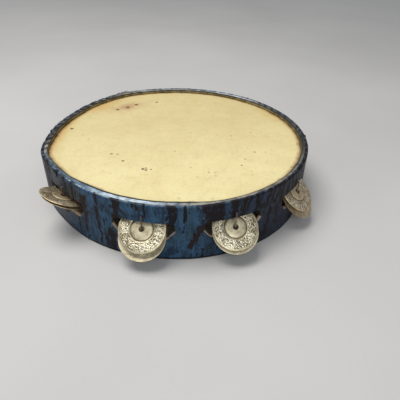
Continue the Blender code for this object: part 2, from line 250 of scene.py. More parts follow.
# Floor and lights.
LIGHT_AIM = (0.0, 0.0, 0.03)
LIGHT_SIZE = 0.8
FLOOR_RADII = [0.3, 0.8, 1.6, 3.0, 6.0, 12.0]
FLOOR_COLUMNS = 96
FLOOR_GAP = 0.0001

MM = 0.001


# ---------------- ring geometry


def apart_from(azimuth, centre):
    """Degrees from a centre, between -180 and 180."""
    return (azimuth - centre + 180.0) % 360.0 - 180.0


def bell(value, centre, width):
    """One at a centre, falling off on both sides of it."""
    return np.exp(-(((value - centre) / width) ** 2))


def smooth(value, low, high):
    """Zero below low, one above high and a smooth rise between them."""
    share = np.clip((value - low) / (high - low), 0.0, 1.0)
    return share * share * (3.0 - 2.0 * share)


def turns_round(count):
    """Even angles of a full turn, in radians."""
    return np.arange(count) * 2.0 * math.pi / count


def plan(azimuth, reach):
    """x and y at azimuths and distances from the middle."""
    turn = np.radians(azimuth)
    return np.sin(turn) * reach, -np.cos(turn) * reach


def bow(azimuth):
    """How far the ring stands outside its true circle."""
    total = np.zeros(np.shape(azimuth))
    for centre, rise, width in BOWS:
        total = total + rise * bell(apart_from(azimuth, centre), 0.0, width)
    return total


def on_ring(azimuth, radius, height):
    """Points at azimuths, radii before the ring bowed, and heights. Arrays broadcast."""
    x, y = plan(azimuth, radius + bow(azimuth))
    return np.stack(np.broadcast_arrays(x, y, height), -1)


def hoop_inner(azimuth):
    """Inner radius of the hoop on the skin, which is doubled where its ends lap."""
    middle = (HOOP_LAP_FROM + HOOP_LAP_TO) / 2.0
    half = (HOOP_LAP_TO - HOOP_LAP_FROM) / 2.0
    apart = np.abs(apart_from(azimuth, middle))
    share = np.clip(1.0 - (apart - half) / HOOP_LAP_EASE, 0.0, 1.0)
    return HOOP_INNER - HOOP_LAP_STEP * share


def flesh_inner(azimuth):
    """Inner radius of the hoop under the skin, the same all round."""
    return np.full(np.shape(azimuth), FLESH_INNER)


def ring_place(points):
    """Azimuth, unbowed radius and height of points."""
    azimuth = np.degrees(np.arctan2(points[:, 0], -points[:, 1]))
    radius = np.hypot(points[:, 0], points[:, 1]) - bow(azimuth)
    return azimuth, radius, points[:, 2]


def ripple(azimuth, height, size, seed, most_waves):
    """Gentle unevenness that meets itself after a full turn."""
    draw = random.Random(seed)
    count = 9
    total = 0.0
    for _ in range(count):
        waves = draw.randint(2, most_waves)
        slant = draw.uniform(-60.0, 60.0)
        start = draw.uniform(0.0, 2.0 * math.pi)
        total = total + np.sin(waves * np.radians(azimuth) + slant * height + start)
    return size * total / math.sqrt(count)


def notched_share(azimuth):
    """One along the battered stretch of the rim and zero elsewhere."""
    apart = np.abs(apart_from(azimuth, NOTCHED_MIDDLE))
    return 1.0 - smooth(apart, NOTCHED_HALF - 6.0, NOTCHED_HALF + 4.0)


def notches(azimuth):
    """How deep the battered stretch of the rim is notched, from zero to one."""
    turn = np.radians(azimuth)
    uneven = 0.9 * np.sin(7.0 * turn) + 0.5 * np.sin(19.0 * turn)
    wave = 1.0 - np.abs(np.sin(NOTCH_WAVES * turn + uneven))
    return notched_share(azimuth) * smooth(wave, 0.38, 0.78)


def by_azimuth(table, azimuth):
    """Values of a table of (azimuth, value or tuple), joined by straight lines."""
    stops = np.array([row[0] for row in table], float)
    values = np.array([np.atleast_1d(row[1]) for row in table], float)
    columns = [np.interp(azimuth, stops, column, period=360.0) for column in values.T]
    return np.stack(columns, -1)


# ---------------- meshes


def quads(rows, columns, closed=False):
    """Faces between neighbouring rows of points, each row a closed ring of columns."""
    row = np.arange(rows if closed else rows - 1)[:, None]
    here = row * columns
    ahead = (row + 1) % rows * columns
    corner = np.arange(columns)[None, :]
    following = (corner + 1) % columns
    sides = np.broadcast_arrays(here + corner, ahead + corner, ahead + following, here + following)
    return np.stack(sides, -1).reshape(-1, 4).tolist()


def fan(tip, first, columns):
    """Faces from a tip to a closed ring of columns, given the ring's first point."""
    corner = np.arange(columns)
    sides = [np.full(columns, tip), first + corner, first + (corner + 1) % columns]
    return np.stack(sides, -1).tolist()


def make_mesh(name, points, faces, materials, slots=None):
    """A mesh with its faces out, smooth but for its real corners."""
    mesh = bpy.data.meshes.new(name)
    mesh.from_pydata(points.reshape(-1, 3).tolist(), [], faces)
    for material in materials:
        mesh.materials.append(material)
    if slots is not None:
        mesh.polygons.foreach_set("material_index", np.asarray(slots, np.int32))
    face_out(mesh)
    return mesh


def face_out(mesh):
    """Point the faces out and keep only real corners sharp."""
    shape = bmesh.new()
    shape.from_mesh(mesh)
    bmesh.ops.recalc_face_normals(shape, faces=shape.faces)
    shape.to_mesh(mesh)
    shape.free()
    mesh.shade_smooth()
    mesh.set_sharp_from_angle(angle=SMOOTH_LIMIT)


def put_in_scene(name, mesh):
    """An object in the scene for a mesh, light or camera."""
    item = bpy.data.objects.new(name, mesh)
    bpy.context.scene.collection.objects.link(item)
    return item


def pose(across, upward, outward, place):
    """The matrix of an object from its three axes and its place."""
    basis = np.eye(4)
    basis[:3] = np.stack([across, upward, outward, place], -1)
    return Matrix(basis.tolist())


def vertex_points(mesh):
    """The mesh's vertices as an array."""
    flat = np.zeros(len(mesh.vertices) * 3, np.float32)
    mesh.vertices.foreach_get("co", flat)
    return flat.reshape(-1, 3).astype(float)


def set_vectors(mesh, name, *columns):
    """Keep three numbers at every vertex under a name that materials can read."""
    values = np.stack(np.broadcast_arrays(*columns), -1).astype(np.float32)
    attribute = mesh.attributes.new(name, "FLOAT_VECTOR", "POINT")
    attribute.data.foreach_set("vector", values.ravel())


# ---------------- shader nodes


def new_material(name):
    """A material with a plain surface."""
    material = bpy.data.materials.new(name)
    material.use_nodes = True
    return material


def put(socket, value):
    """Join an output to a node's input, or set the input's number, vector or colour."""
    if isinstance(value, bpy.types.NodeSocket):
        socket.id_data.links.new(value, socket)
    elif socket.type == "RGBA":
        socket.default_value = (*value[:3], 1.0)
    else:
        socket.default_value = value


def add_node(kind, inputs, output=0, tree=None, **settings):
    """Add a node beside the nodes that it reads, and give its output."""
    if tree is None:
        tree = next(v.id_data for v in inputs.values() if isinstance(v, bpy.types.NodeSocket))
    node = tree.nodes.new("ShaderNode" + kind)
    for key, value in settings.items():
        setattr(node, key, value)
    for key, value in inputs.items():
        put(node.inputs[key], value)
    return node.outputs[output]


def object_place(material):
    """Where a point is in the object's own space."""
    return add_node("TexCoord", {}, 3, material.node_tree)


def attribute(material, name):
    """The three numbers that the mesh keeps under a name."""
    return add_node("Attribute", {}, 1, material.node_tree, attribute_name=name)


def calculate(operation, first, second):
    """The result of two numbers."""
    return add_node("Math", {0: first, 1: second}, operation=operation)


def times(first, second):
    """The first times the second."""
    return calculate("MULTIPLY", first, second)


def plus(first, second):
    """The first plus the second."""
    return calculate("ADD", first, second)


def minus(first, second):
    """The first less the second."""
    return calculate("SUBTRACT", first, second)


def fray(value, texture, amount):
    """A value made ragged by a texture that swings round a half."""
    return plus(value, times(minus(texture, 0.5), amount))


def ramp(value, low, high):
    """Zero at low, one at high and a smooth change between them."""
    inputs = {0: value, 1: low, 2: high, 3: 0.0, 4: 1.0}
    return add_node("MapRange", inputs, interpolation_type="SMOOTHSTEP")


def fit(value, low, high):
    """From low where the value is zero to high where it is one."""
    return add_node("MapRange", {0: value, 1: 0.0, 2: 1.0, 3: low, 4: high})


def blend(share, first, second):
    """From the first colour to the second by a share."""
    return add_node("Mix", {0: share, 6: first, 7: second}, 2, data_type="RGBA")


def over(under, share, strength, colour):
    """A colour laid over another by a share and a strength."""
    return blend(times(share, strength), under, colour)


def split(vector):
    """The three numbers of a vector."""
    return add_node("SeparateXYZ", {0: vector}, slice(0, 3))


def stretch(vector, scale):
    """A vector with each of its numbers multiplied."""
    return add_node("VectorMath", {0: vector, 1: scale}, operation="MULTIPLY")


def noise(vector, scale, detail=3.0, roughness=0.55, distortion=0.0, output=0):
    """Cloudy noise about a half."""
    inputs = {"Vector": vector, "Scale": scale, "Detail": detail}
    inputs |= {"Roughness": roughness, "Distortion": distortion}
    return add_node("TexNoise", inputs, output)


def cells(vector, scale, output=0):
    """Distance to the nearest of scattered points, or with output one its random colour."""
    return add_node("TexVoronoi", {"Vector": vector, "Scale": scale}, output)


def bump(height, distance, strength=1.0, under=None):
    """A normal that follows a height, on top of another bump where one is given."""
    inputs = {"Height": height, "Distance": distance, "Strength": strength}
    if under is not None:
        inputs["Normal"] = under
    return add_node("Bump", inputs)


def finish(material, **inputs):
    """Give the material's surface its inputs."""
    surface = material.node_tree.nodes["Principled BSDF"]
    for key, value in inputs.items():
        put(surface.inputs[key.replace("_", " ")], value)
    return material


# ---------------- materials


def chips(place, scale, share):
    """Scattered small round spots: a mask that is one on a share of the cells."""
    near = ramp(cells(place, scale), 0.34, 0.2)
    pick = split(cells(place, scale, output=1))[0]
    return times(near, ramp(pick, 1.0 - share, 1.0 - share + 0.02))


def blue_paint():
    """Aged blue paint with brown-black streaks and wear along the edges, a painted highlight along the
    top edge, and painted shade darkening the right side.
    """
    material = new_material("old_blue_paint")
    here = object_place(material)
    place = attribute(material, "place")
    stain, navy_and_shade, brown = split(attribute(material, "marks"))
    _, height, depth = split(place)
    edge, bloom, _ = split(attribute(material, "edge"))
    strokes = noise(stretch(place, (1.0, 0.12, 1.0)), 330.0, 5.0, 0.6)
    threads = noise(stretch(place, (1.0, 0.1, 1.0)), 1300.0, 3.0, 0.6)
    mottle = noise(here, 90.0, 6.0, 0.66)
    blot = noise(stretch(here, (1.0, 1.0, 0.6)), 300.0, 3.0, 0.6, 0.5)
    fine = noise(here, 700.0, 4.0, 0.65)
    grit = ramp(noise(here, 420.0, 5.0, 0.7), 0.52, 0.66)
    tone = plus(times(mottle, 0.5), times(strokes, 0.5))
    cloud = ramp(fray(mottle, blot, 1.0), 0.42, 0.64)
    # Where the blue turns dark by azimuth is partly darkened paint and partly painted shade.
    paint = blend(navy_and_shade, clear_blue(here, tone, grit, fine), dark_navy(tone, fine))
    paint = over(paint, cloud, bloom, (0.060, 0.078, 0.092))
    paint = over(paint, ramp(threads, 0.56, 0.72), 0.55, (0.006, 0.009, 0.014))
    ragged = fray(fray(stain, strokes, 3.0), threads, 1.3)
    ragged = fray(fray(ragged, fine, 0.8), blot, 3.4)
    mask = ramp(ragged, 0.30, 0.72)
    paint = over(paint, mask, 0.96, streak_colour(brown, grit, fine))
    foot = ramp(plus(height, times(mottle, 0.003)), 0.0046, 0.0030)
    paint = over(paint, foot, 0.9, (0.005, 0.006, 0.009))
    # The pale line on the top edge is partly wear and partly a painted highlight.
    rim = times(ramp(height, 0.0512, 0.0521), ramp(depth, 0.0007, 0.0013))
    wear = ramp(noise(here, 260.0, 4.0), 0.40, 0.58)
    wear_and_highlight = times(times(rim, wear), edge)
    paint = over(paint, wear_and_highlight, minus(1.0, times(mask, 0.85)), (0.36, 0.43, 0.48))
    paint = over(paint, chips(here, 420.0, 0.03), 0.6, (0.16, 0.15, 0.13))
    pits = chips(stretch(here, (1.0, 1.0, 0.6)), 260.0, 0.05)
    paint = over(paint, pits, 0.8, (0.006, 0.006, 0.007))
    relief = plus(times(strokes, 0.5), times(fine, 0.3))
    relief = plus(relief, times(threads, 0.3))
    relief = minus(relief, times(mask, 0.25))
    return finish(
        material,
        Base_Color=paint,
        Roughness=plus(fit(mottle, 0.30, 0.55), times(mask, 0.1)),
        Normal=bump(relief, 0.0004, 0.9),
        Specular_IOR_Level=minus(0.22, times(mask, 0.10)),
    )


def clear_blue(here, tone, grit, fine):
    """The paint's blue where it is least darkened."""
    blue = blend(ramp(tone, 0.40, 0.60), (0.008, 0.026, 0.050), (0.034, 0.100, 0.190))
    blue = over(blue, grit, 0.5, (0.007, 0.018, 0.032))
    teal = ramp(noise(here, 38.0, 4.0, 0.6), 0.52, 0.68)
    blue = over(blue, teal, 0.8, (0.022, 0.058, 0.074))
    return over(blue, ramp(fine, 0.58, 0.74), 0.7, (0.060, 0.125, 0.180))


def dark_navy(tone, fine):
    """The paint's darkest blue, for paint that has darkened all over and for painted shade."""
    deep = blend(ramp(tone, 0.42, 0.62), (0.003, 0.004, 0.010), (0.009, 0.017, 0.042))
    return over(deep, ramp(fine, 0.58, 0.74), 0.5, (0.030, 0.040, 0.062))


def streak_colour(brown, grit, fine):
    """The near black or brown of the streaks."""
    dark = blend(brown, (0.004, 0.004, 0.006), (0.022, 0.012, 0.010))
    dark = over(dark, grit, 0.6, (0.034, 0.018, 0.014))
    return over(dark, ramp(fine, 0.56, 0.76), 0.5, (0.034, 0.029, 0.030))


def hoop_paint():
    """Paint on the hoop, pale from wear and painted highlights and speckled by hands, with a dark line
    at its inner edge.
    """
    material = new_material("worn_hoop_paint")
    here = object_place(material)
    place = attribute(material, "place")
    tone = attribute(material, "tone")
    stain, inward, brown = split(attribute(material, "marks"))
    height = split(place)[1]
    streaks = noise(stretch(place, (0.12, 1.0, 1.0)), 1100.0, 4.0, 0.65)
    speckle = noise(here, 1100.0, 3.0, 0.7)
    mottle = noise(here, 150.0, 4.0, 0.6)
    # The tones by azimuth include painted highlights.
    light = stretch(tone, (1.35, 1.32, 1.28))
    low = stretch(tone, (0.50, 0.53, 0.58))
    paint = blend(ramp(mottle, 0.34, 0.62), low, light)
    paint = over(paint, ramp(speckle, 0.55, 0.68), 0.6, (0.018, 0.019, 0.021))
    paint = over(paint, ramp(streaks, 0.54, 0.68), 0.5, low)
    dark = blend(brown, (0.006, 0.006, 0.008), (0.022, 0.014, 0.011))
    paint = blend(ramp(fray(stain, speckle, 0.8), 0.3, 0.7), paint, dark)
    # Near black along the hoop's inner edge, next to the skin.
    wavy = fray(inward, mottle, 0.5)
    paint = blend(ramp(wavy, 0.85, 1.05), (0.020, 0.024, 0.022), paint)
    seam = times(ramp(wavy, 0.22, 0.36), ramp(wavy, 0.62, 0.46))
    paint = over(paint, seam, 0.45, (0.13, 0.125, 0.075))
    side = ramp(minus(height, times(mottle, 0.0008)), 0.0512, 0.0502)
    stained = blend(ramp(mottle, 0.4, 0.6), (0.16, 0.12, 0.048), (0.34, 0.275, 0.125))
    return finish(
        material,
        Base_Color=blend(side, paint, stained),
        Roughness=fit(speckle, 0.34, 0.62),
        Normal=bump(speckle, 0.00022, 0.7),
        Specular_IOR_Level=0.3,
    )


def wood(name, pale, deep, tint, shade_above=None):
    """Bent wood, its grain running round the ring, with pores and aged dirt, and painted shade on cut
    faces above a given height.
    """
    material = new_material(name)
    here = object_place(material)
    place = attribute(material, "place")
    grain = noise(stretch(place, (0.05, 1.0, 1.0)), 900.0, 5.0, 0.62, 0.4)
    bands = noise(stretch(place, (0.03, 1.0, 1.0)), 170.0, 3.0, 0.5, 1.2)
    pores = noise(stretch(place, (0.09, 1.0, 1.0)), 2600.0, 2.0, 0.6)
    dirt = noise(here, 60.0, 4.0, 0.6)
    colour = blend(ramp(bands, 0.32, 0.68), deep, pale)
    colour = over(colour, ramp(grain, 0.5, 0.74), 0.6, deep)
    colour = over(colour, ramp(pores, 0.6, 0.72), 0.7, tint)
    colour = over(colour, ramp(dirt, 0.5, 0.75), 0.55, tint)
    if shade_above:
        height = split(place)[1]
        # Painted shade on the downward-facing cuts above the slots' tips.
        shaded_cut = ramp(height, shade_above - 0.0006, shade_above + 0.0008)
        colour = over(colour, shaded_cut, 0.93, (0.020, 0.011, 0.006))
    return finish(
        material,
        Base_Color=colour,
        Roughness=fit(grain, 0.62, 0.85),
        Normal=bump(minus(grain, times(pores, 0.6)), 0.0003, 0.8),
    )


def skin():
    """Parchment: cream, mottled, faintly fibrous, with dark specks, a brown stain along its edge, a
    near black line where it meets the hoop, and painted shade towards the back.
    """
    material = new_material("parchment")
    here = object_place(material)
    edge, warm, pink = split(attribute(material, "marks"))
    back_shade = split(attribute(material, "back_shade"))[0]
    cloudy = noise(here, 22.0, 6.0, 0.68)
    mottle = noise(here, 110.0, 6.0, 0.7)
    fine = noise(here, 620.0, 4.0, 0.7)
    fibres = noise(stretch(here, (1.0, 0.22, 1.0)), 300.0, 4.0, 0.6, 1.5)
    colour = blend(ramp(cloudy, 0.3, 0.7), (0.75, 0.63, 0.325), (0.83, 0.72, 0.39))
    colour = over(colour, ramp(mottle, 0.46, 0.74), 0.45, (0.63, 0.51, 0.26))
    colour = over(colour, ramp(fine, 0.52, 0.74), 0.4, (0.94, 0.85, 0.55))
    colour = over(colour, ramp(fine, 0.46, 0.30), 0.35, (0.58, 0.46, 0.22))
    colour = over(colour, ramp(fibres, 0.58, 0.74), 0.22, (0.55, 0.42, 0.20))
    # Painted shade: darker towards the back, away from the lights.
    colour = blend(back_shade, colour, (0.40, 0.33, 0.16))
    tan = blend(ramp(warm, 0.35, 0.7), (0.58, 0.45, 0.19), (0.56, 0.36, 0.12))
    colour = over(colour, warm, fit(mottle, 0.45, 1.35), tan)
    blush = times(pink, ramp(mottle, 0.22, 0.58))
    colour = over(colour, blush, 0.85, (0.40, 0.20, 0.11))
    ragged = fray(edge, mottle, 0.007)
    colour = over(colour, ramp(ragged, 0.0050, 0.0006), 0.8, (0.26, 0.135, 0.045))
    # A near black line right against the hoop.
    colour = blend(ramp(ragged, 0.0013, 0.0001), colour, (0.10, 0.068, 0.026))
    sway = noise(here, 700.0, 2.0, output=1)
    inputs = {0: sway, 1: (SPECK_SWAY, SPECK_SWAY, 0.0), 2: here}
    wander = add_node("VectorMath", inputs, operation="MULTIPLY_ADD")
    colour = over(colour, speck_mask(wander, FAINT_SPECKS), 0.55, (0.24, 0.16, 0.07))
    colour = over(colour, speck_mask(wander, SPECKS), 0.92, (0.13, 0.075, 0.026))
    colour = over(colour, chips(here, 190.0, 0.03), 0.3, (0.32, 0.22, 0.10))
    relief = plus(times(fibres, 0.5), times(fine, 0.5))
    return finish(
        material,
        Base_Color=colour,
        Roughness=fit(mottle, 0.5, 0.7),
        Normal=bump(relief, 0.00022, 0.8),
        Subsurface_Weight=0.1,
        Subsurface_Radius=(0.004, 0.0025, 0.001),
        Subsurface_Scale=0.4,
        Specular_IOR_Level=0.3,
    )


def speck_mask(place, specks):
    """One inside any of the specks, in the plane of the skin."""
    flat = stretch(place, (1.0, 1.0, 0.0))
    shift = SPECK_SWAY / 2.0
    total = 0.0
    for x, y, radius in specks:
        centre = (x * MM + shift, y * MM + shift, 0.0)
        apart = add_node("VectorMath", {0: flat, 1: centre}, output=1, operation="DISTANCE")
        total = calculate("MAXIMUM", ramp(apart, radius * 1.25 * MM, radius * 0.6 * MM), total)
    return total


def tin(name, bright, dull, shadow, boss_grain):
    """Tinned sheet, tarnished in its grooves, with painted highlights on its high spots and painted
    shade between them and at the boss's foot.
    """
    material = new_material(name)
    here = object_place(material)
    shade_and_grime, pellet, ring = split(attribute(material, "marks"))
    mottle = noise(here, 170.0, 4.0, 0.6)
    cloudy = noise(here, 95.0, 2.0, 0.5)
    fine = noise(here, 1600.0, 3.0, 0.65)
    grains = cells(here, 1250.0)
    flake = split(cells(here, 1250.0, output=1))[0]
    plain = blend(ramp(mottle, 0.34, 0.66), dull, bright)
    grained = calculate("MAXIMUM", ring, boss_grain)
    # Pellet tops and flecks painted bright as highlights, the hollows painted in shade.
    high = plus(times(pellet, 0.5), times(flake, 0.62))
    high = fray(high, cloudy, 0.9)
    grain = blend(ramp(high, 0.12, 0.50), shadow, dull)
    grain = blend(ramp(high, 0.44, 0.78), grain, (1.0, 0.96, 0.78))
    colour = over(plain, grained, 0.9, grain)
    # Dark from the marks: painted shadow at the boss's foot, and darker near the hole and on the
    # underside.
    dirt = ramp(fray(shade_and_grime, fine, 0.5), 0.2, 1.0)
    colour = over(colour, dirt, 0.95, (0.035, 0.027, 0.014))
    colour = over(colour, ramp(fine, 0.6, 0.72), 0.25, (0.24, 0.19, 0.11))
    rough = minus(fit(mottle, 0.34, 0.46), times(pellet, 0.12))
    rise = times(minus(1.0, grains), grained)
    relief = bump(rise, 0.00025, 0.9)
    return finish(
        material,
        Base_Color=colour,
        Metallic=0.7,
        Roughness=plus(rough, times(shade_and_grime, 0.2)),
        Normal=bump(fine, 0.0001, 0.6, relief),
    )


def wire_metal():
    """Dull drawn wire with patches of rust."""
    material = new_material("dull_wire")
    here = object_place(material)
    fine = noise(here, 900.0, 3.0, 0.6)
    rust = ramp(noise(here, 120.0, 3.0), 0.42, 0.54)
    colour = blend(ramp(fine, 0.4, 0.65), (0.22, 0.18, 0.13), (0.50, 0.46, 0.38))
    return finish(
        material,
        Base_Color=over(colour, rust, 0.9, (0.090, 0.044, 0.024)),
        Metallic=minus(0.85, times(rust, 0.6)),
        Roughness=fit(fine, 0.32, 0.55),
        Normal=bump(fine, 0.00008, 0.6),
    )


def tack_metal():
    """Darkened iron, painted over long ago, pale in the middle from wear and a painted highlight."""
    material = new_material("painted_iron")
    here = object_place(material)
    middle = split(attribute(material, "marks"))[0]
    fine = noise(here, 1100.0, 3.0, 0.6)
    # Pale middle of the domed head: partly wear, partly a painted highlight.
    wear_and_highlight = ramp(plus(middle, times(fine, 0.5)), 0.80, 1.05)
    colour = blend(ramp(fine, 0.4, 0.65), (0.002, 0.003, 0.005), (0.006, 0.009, 0.014))
    return finish(
        material,
        Base_Color=over(colour, wear_and_highlight, 0.8, (0.20, 0.22, 0.24)),
        Metallic=0.35,
        Roughness=fit(fine, 0.36, 0.6),
        Normal=bump(fine, 0.0001, 0.7),
    )


def pale_floor():
    """Matt pale floor with the faintest unevenness, paler far from the lights."""
    material = new_material("pale_floor")
    here = object_place(material)
    broad = noise(here, 3.0, 3.0)
    fine = noise(here, 500.0, 3.0, 0.6)
    far = add_node("VectorMath", {0: here}, output=1, operation="LENGTH")
    colour = blend(ramp(broad, 0.3, 0.7), (0.52, 0.515, 0.505), (0.57, 0.565, 0.555))
    colour = over(colour, ramp(fine, 0.55, 0.7), 0.2, (0.47, 0.465, 0.455))
    colour = blend(ramp(far, 0.7, 2.4), colour, (0.93, 0.93, 0.92))
    return finish(material, Base_Color=colour, Roughness=0.75, Normal=bump(fine, 0.0002, 0.3))


# ---------------- shell


def arc(centre, radius, start, end, steps):
    """Points of an arc of a section, as radius and height, by angle in degrees."""
    angles = np.radians(np.linspace(start, end, steps + 1))
    return [(centre[0] + radius * math.cos(a), centre[1] + radius * math.sin(a)) for a in angles]


def shell_section():
    """Section of the shell: its points, and which material the surface has that each starts."""
    inner = SHELL_RADIUS - SHELL_WALL
    outer = SHELL_RADIUS
    edge = SHELL_EDGE_BREAK
    soft = SHELL_TOP_ROUND
    top = SHELL_HEIGHT
    lip = 0.0003
    wall_rows = 62
    inner_rows = 14
    bottom = arc((inner + edge, edge), edge, 180, 270, 3)
    bottom += arc((outer - edge, edge), edge, 270, 360, 3)
    heights = np.linspace(edge, top - soft, wall_rows + 1)[1:-1]
    wall = [(outer, height) for height in heights]
    crown = arc((outer - soft, top - soft), soft, 0, 90, 7)
    crown += arc((inner + lip, top - lip), lip, 90, 180, 2)
    heights = np.linspace(top - lip, edge, inner_rows + 1)[1:-1]
    inside = [(inner, height) for height in heights]
    points = np.array(bottom + wall + crown + inside)
    painted = len(bottom) + len(wall) + len(crown) - 1
    slots = [0 if index < painted else 1 for index in range(len(points))]
    slots[0] = 1
    return points, slots


def lap_share(azimuth):
    """One at the lap's cut end, falling to nothing along its taper and elsewhere."""
    past_end = (azimuth - LAP_AZIMUTH) % 360.0
    return np.clip(1.0 - past_end / LAP_LENGTH, 0.0, 1.0)


def shell_azimuths():
    """Columns round the shell, close together where the lap ends."""
    end = LAP_AZIMUTH % 360.0
    even = np.arange(RING_COLUMNS) * 360.0 / RING_COLUMNS
    even = even[np.abs(even - end) > 0.2]
    extra = end - np.array([0.16, 0.1, 0.04, 0.0])
    return np.sort(np.concatenate([even, extra]))


def shell_points(azimuths, section):
    """The shell's grid of points, with the lap and the unevenness of bent wood."""
    azimuth = azimuths[:, None]
    radius = section[None, :, 0]
    height = section[None, :, 1]
    share = lap_share(azimuth)
    outer_share = smooth(radius, SHELL_RADIUS - SHELL_WALL, SHELL_RADIUS - SHELL_TOP_ROUND)
    seam = LAP_SEAM_DEPTH * bell((azimuth - LAP_AZIMUTH) % 360.0, 359.9, LAP_SEAM_WIDTH)
    radius = radius + (LAP_STEP * share - seam) * outer_share
    radius = radius + ripple(azimuth, 0.0, WOOD_RIPPLE, 3, 24)
    radius = radius + ripple(azimuth, height, WOOD_RIPPLE, 5, 70) * outer_share
    lift = smooth(height, SHELL_HEIGHT * 0.5, SHELL_HEIGHT)
    height = height + lift * (LAP_LIFT * share - 0.6 * seam)
    height = height + lift * ripple(azimuth, 0.0, TOP_RIPPLE, 7, 60)
    battered = (0.3 - notches(azimuth)) * NOTCH_DEPTH * notched_share(azimuth)
    battered = battered * smooth(height, SHELL_HEIGHT - 0.006, SHELL_HEIGHT)
    return on_ring(azimuth, radius + battered * 0.8 * outer_share, height + battered)


def rounded(corners, cut):
    """Closed outline of the corners, each cut off by a short arc of three chords."""
    corners = np.array(corners)
    outline = []
    for before, here, after in zip(np.roll(corners, 1, 0), corners, np.roll(corners, -1, 0)):
        start = here + (before - here) / np.linalg.norm(before - here) * cut
        end = here + (after - here) / np.linalg.norm(after - here) * cut
        for share in (0.0, 1.0 / 3.0, 2.0 / 3.0, 1.0):
            near = start * (1 - share) ** 2 + here * 2 * share * (1 - share) + end * share**2
            outline.append(near)
    return outline


def divided(outline, longest):
    """The outline with points added so that no side is longer than a limit."""
    result = []
    for index, here in enumerate(outline):
        ahead = outline[(index + 1) % len(outline)]
        pieces = max(1, math.ceil(np.linalg.norm(ahead - here) / longest))
        for piece in range(pieces):
            result.append(here + (ahead - here) * piece / pieces)
    return np.array(result)


def slot_outline(draw):
    """Outline of one hand-cut slot, as tangential distance and height."""
    corners = [
        (-SLOT_TIP_HALF, SLOT_TIP_HEIGHT),
        (-SLOT_FLAT_HALF, SLOT_BOTTOM),
        (SLOT_FLAT_HALF, SLOT_BOTTOM),
        (SLOT_TIP_HALF, SLOT_TIP_HEIGHT),
        (SLOT_TOP_HALF, SLOT_TOP),
        (-SLOT_TOP_HALF, SLOT_TOP),
    ]
    outline = divided(rounded(corners, SLOT_ROUND), SLOT_STEP)
    middle = np.array([0.0, SLOT_TIP_HEIGHT])
    for index in range(len(outline)):
        away = outline[index] - middle
        wobble = draw.uniform(SLOT_WOBBLE_IN, SLOT_WOBBLE_OUT)
        outline[index] = outline[index] + away / np.linalg.norm(away) * wobble
    return outline


def round_outline(height, radius, steps):
    """Outline of a round hole at a height."""
    turns = turns_round(steps)
    return np.stack([radius * np.cos(turns), height + radius * np.sin(turns)], -1)


def grown(outline, amount):
    """The outline moved outwards."""
    ahead = np.roll(outline, -1, 0) - np.roll(outline, 1, 0)
    across = np.stack([ahead[:, 1], -ahead[:, 0]], -1)
    across /= np.linalg.norm(across, axis=1)[:, None]
    return outline + across * amount


def cutter_body(azimuth, outline, bevel):
    """Points and faces of a bar through the wall, opening out at both faces where it is bevelled."""
    layers = [
        (-SHELL_WALL - CUT_PAST_WALL, bevel + 0.0022),
        (-SHELL_WALL - 0.0001, bevel * 0.8),
        (-SHELL_WALL + 0.0004, 0.0),
        (-0.0004, 0.0),
        (0.0001, bevel),
        (CUT_PAST_FACE, bevel + 0.0028),
    ]
    if bevel == 0.0:
        layers = [(-SHELL_WALL - CUT_PAST_WALL, 0.0), (CUT_PAST_FACE, 0.0)]
    points = []
    for depth, growth in layers:
        shape = grown(outline, growth)
        turn = azimuth + np.degrees(np.arcsin(shape[:, 0] / SHELL_RADIUS))
        points.append(on_ring(turn, SHELL_RADIUS + depth, shape[:, 1]))
    count = len(outline)
    points = np.concatenate(points)
    total = len(points)
    middles = [points[:count].mean(0), points[-count:].mean(0)]
    faces = quads(len(layers), count) + fan(total, 0, count) + fan(total + 1, total - count, count)
    return np.concatenate([points, middles]), faces


def stations():
    """Azimuth of every wire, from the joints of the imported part."""
    found = {}
    for joint in frame["joints"]:
        number, which = joint["name"].split("_")[1:]
        if which == "upper":
            x, y, _ = joint["pos_m"]
            found[number] = math.degrees(math.atan2(x, -y))
    return found


def cut_shell(shell, cut_material):
    """Cut the slots and the wires' holes."""
    draw = random.Random(11)
    points = []
    faces = []
    total = 0
    for azimuth in stations().values():
        bodies = [cutter_body(azimuth, slot_outline(draw), SLOT_BEVEL)]
        for height in (WIRE_TOP, WIRE_BOTTOM):
            bodies.append(cutter_body(azimuth, round_outline(height, WIRE_HOLE_RADIUS, 16), 0.0))
        for body_points, body_faces in bodies:
            points.append(body_points)
            faces.extend([[total + corner for corner in face] for face in body_faces])
            total += len(body_points)
    mesh = make_mesh("slot_cutter", np.concatenate(points), faces, [cut_material])
    cutter = put_in_scene("slot_cutter", mesh)
    modifier = shell.modifiers.new("cut", "BOOLEAN")
    modifier.operation = "DIFFERENCE"
    modifier.solver = "EXACT"
    modifier.material_mode = "TRANSFER"
    modifier.object = cutter
    bpy.context.view_layer.update()
    graph = bpy.context.evaluated_depsgraph_get()
    result = bpy.data.meshes.new_from_object(shell.evaluated_get(graph))
    shell.modifiers.clear()
    shell.data = result
    bpy.data.objects.remove(cutter, do_unlink=True)
    face_out(result)


